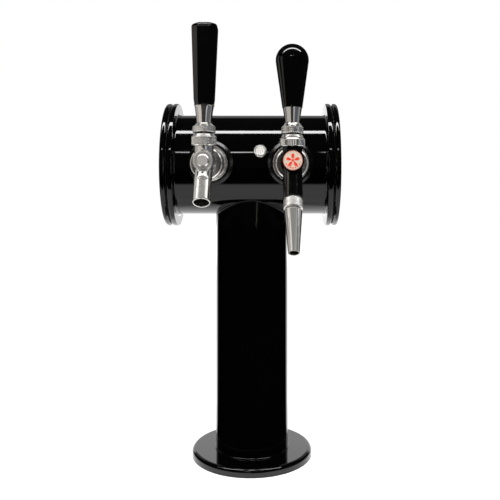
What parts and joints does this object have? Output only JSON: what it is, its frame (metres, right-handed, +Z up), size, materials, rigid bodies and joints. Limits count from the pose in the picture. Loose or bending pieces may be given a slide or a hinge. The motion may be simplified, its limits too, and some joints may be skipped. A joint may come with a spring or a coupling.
{
  "type": "draught beer tower",
  "caption": "Black T-shaped draught tower on a round base: column, drum header with flanged ends, a swan-spout lever tap and a creamer-spout lever tap",
  "frame": {"origin": "centre of the base underside, on the column axis", "axes": "+Z up the column, the taps face -Y, +X to the right of a person facing the taps"},
  "size_m": [0.2086, 0.2743, 0.5078],
  "materials": {
    "black_lacquer": "high gloss",
    "chrome": "polished plating",
    "stainless": "turned and lightly brushed",
    "brass": "turned",
    "black_handle": "moulded, high gloss",
    "red_enamel": "glossy enamel over pressed metal",
    "foam": "cut closed-cell foam",
    "rubber": "moulded",
    "nylon": "turned nylon"
  },
  "bodies": {
    "tower": {"badge_stud": "stainless", "badge_stud_nut": "stainless", "base_flange": "black_lacquer", "column_insulation": "foam", "column_tube": "black_lacquer", "end_cap_gaskets": "rubber", "end_cap_screws": "stainless", "header_tube": "black_lacquer", "left_backing_washer": "brass", "left_ball_washer": "nylon", "left_bezel": "black_lacquer", "left_bonnet": "chrome", "left_coupling_gasket": "rubber", "left_coupling_nut": "chrome", "left_end_cap": "black_lacquer", "left_flange_ring": "black_lacquer", "left_front_cap": "chrome", "left_product_line": "stainless", "left_shank": "chrome", "left_shank_nut": "brass", "left_tap_body": "chrome", "right_backing_washer": "brass", "right_ball_washer": "nylon", "right_bezel": "black_lacquer", "right_bonnet": "chrome", "right_coupling_gasket": "rubber", "right_coupling_nut": "chrome", "right_end_cap": "black_lacquer", "right_flange_ring": "black_lacquer", "right_front_cap": "black_lacquer", "right_medallion": "red_enamel", "right_nozzle": "stainless", "right_product_line": "stainless", "right_restrictor_plate": "stainless", "right_shank": "chrome", "right_shank_nut": "brass", "right_spout_collar": "stainless", "right_tap_body": "black_lacquer"},
    "left_lever_set": {"left_lever": "stainless", "left_collar": "chrome", "left_ferrule": "stainless", "left_handle": "black_handle"},
    "left_valve_stem": {"left_shuttle": "stainless", "left_seat_washer": "rubber"},
    "right_lever_set": {"right_lever": "stainless", "right_collar": "chrome", "right_ferrule": "stainless", "right_handle": "black_handle"},
    "right_valve_stem": {"right_shuttle": "stainless", "right_seat_washer": "rubber"}
  },
  "joints": [
    {"name": "left_lever_swing", "type": "hinge", "parent": "tower", "child": "left_lever_set", "pos_m": [-0.0465, -0.137, 0.3815], "axis": [1, 0, 0], "range_deg": [0, 30]},
    {"name": "left_stem_slide", "type": "slide", "parent": "tower", "child": "left_valve_stem", "axis": [0, 1, 0], "range_m": [0, 0.0098]},
    {"name": "right_lever_swing", "type": "hinge", "parent": "tower", "child": "right_lever_set", "pos_m": [0.0465, -0.137, 0.3815], "axis": [1, 0, 0], "range_deg": [0, 30]},
    {"name": "right_stem_slide", "type": "slide", "parent": "tower", "child": "right_valve_stem", "axis": [0, 1, 0], "range_m": [0, 0.0098]}
  ],
  "couplings": [
    {"joint": "left_stem_slide", "follows": "left_lever_swing", "m_per_rad": 0.0185},
    {"joint": "right_stem_slide", "follows": "right_lever_swing", "m_per_rad": 0.0185}
  ]
}
